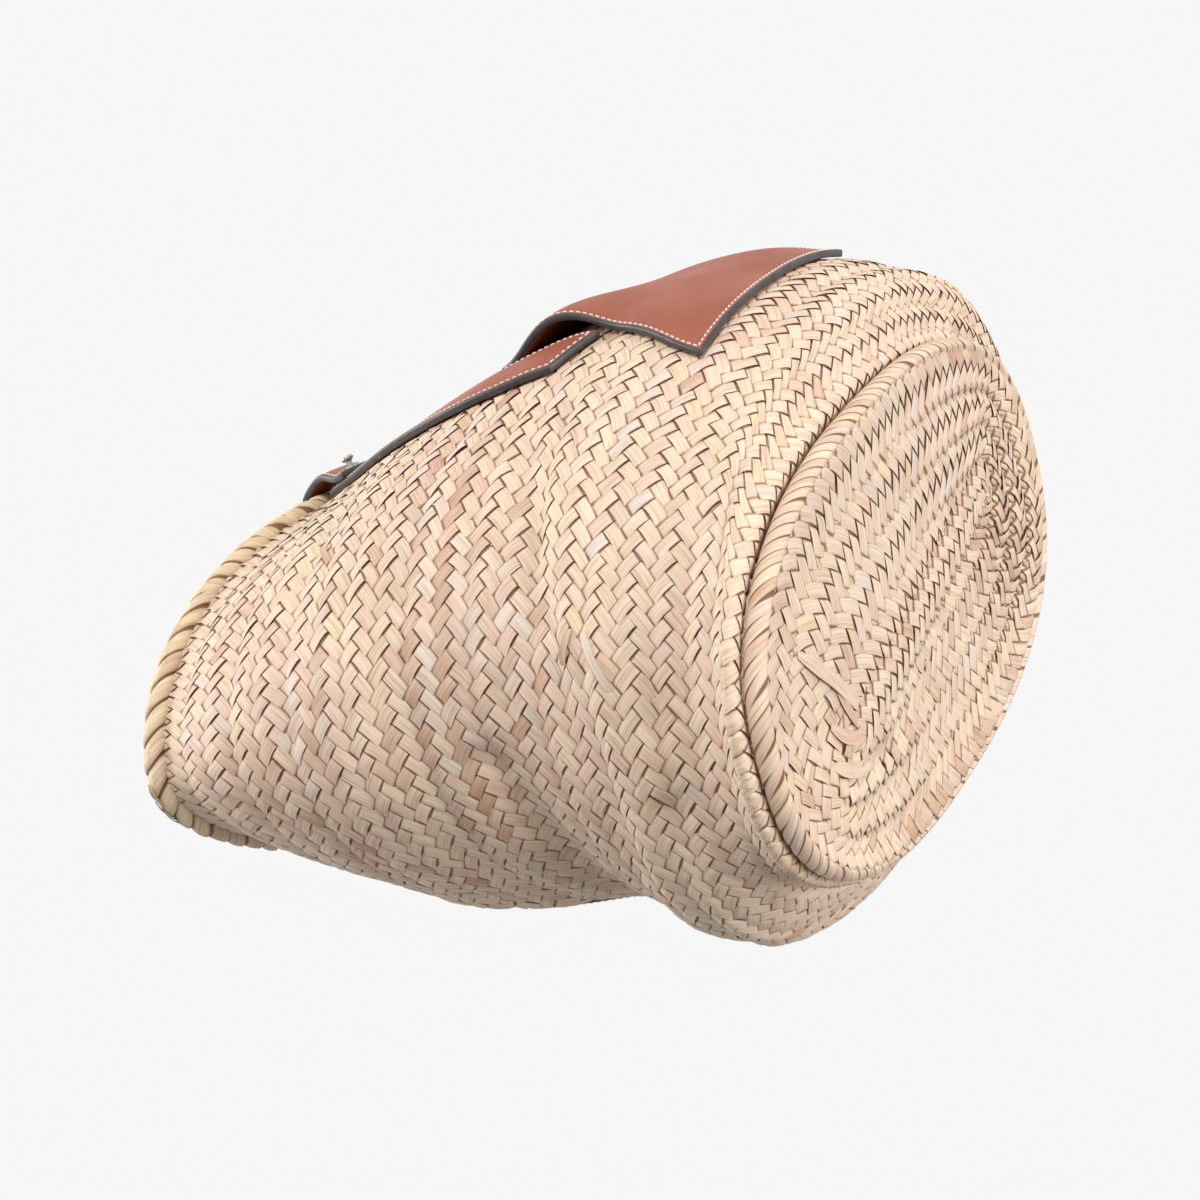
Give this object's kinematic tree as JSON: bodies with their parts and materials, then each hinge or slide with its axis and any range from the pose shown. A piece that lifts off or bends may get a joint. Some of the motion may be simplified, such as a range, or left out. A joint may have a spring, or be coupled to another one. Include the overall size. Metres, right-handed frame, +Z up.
{
  "type": "basket bag",
  "caption": "Slack oval basket bag of sewn palm leaf braid with an overcast base ring, rope rim, leather patch, anchor straps and swinging leather handles.",
  "frame": {"origin": "middle of the underside of the base, on the plane the bag stands on", "axes": "+Z up to the mouth, -Y to the front with the patch, +X along the base's length to the right seen from behind the camera at the front"},
  "size_m": [0.3786, 0.2687, 0.2862],
  "materials": {
    "palm_leaf": "dry braided leaf strip, matt",
    "leaf_rope": "leaf rope overcast with leaf strip, matt",
    "leather": "smooth tan leather, stitched, edges painted dark",
    "stud_metal": "polished dark nickel"
  },
  "bodies": {
    "basket": {"wall_lower": "palm_leaf", "wall_middle": "palm_leaf", "wall_upper": "palm_leaf", "base": "palm_leaf", "base_ring": "palm_leaf", "rim_rope": "leaf_rope", "front_patch": "leather", "strap_front_left": "leather", "handle_end_front_left": "leather", "stud_front_left": "stud_metal", "stud_screw_front_left": "stud_metal", "strap_front_right": "leather", "handle_end_front_right": "leather", "stud_front_right": "stud_metal", "stud_screw_front_right": "stud_metal", "strap_back_left": "leather", "handle_end_back_left": "leather", "stud_back_left": "stud_metal", "stud_screw_back_left": "stud_metal", "strap_back_right": "leather", "handle_end_back_right": "leather", "stud_back_right": "stud_metal", "stud_screw_back_right": "stud_metal"},
    "front_grip": {"front_handle": "leather"},
    "back_grip": {"back_handle": "leather"}
  },
  "joints": [
    {"name": "front_handle_swing", "type": "hinge", "parent": "basket", "child": "front_grip", "pos_m": [0.11222, -0.01411, 0.28695], "axis": [0.9053, 0.4247, 0], "range_deg": [0, 265]},
    {"name": "back_handle_swing", "type": "hinge", "parent": "basket", "child": "back_grip", "pos_m": [0.05561, 0.10352, 0.28695], "axis": [-0.9614, -0.2753, 0], "range_deg": [0, 265]}
  ]
}
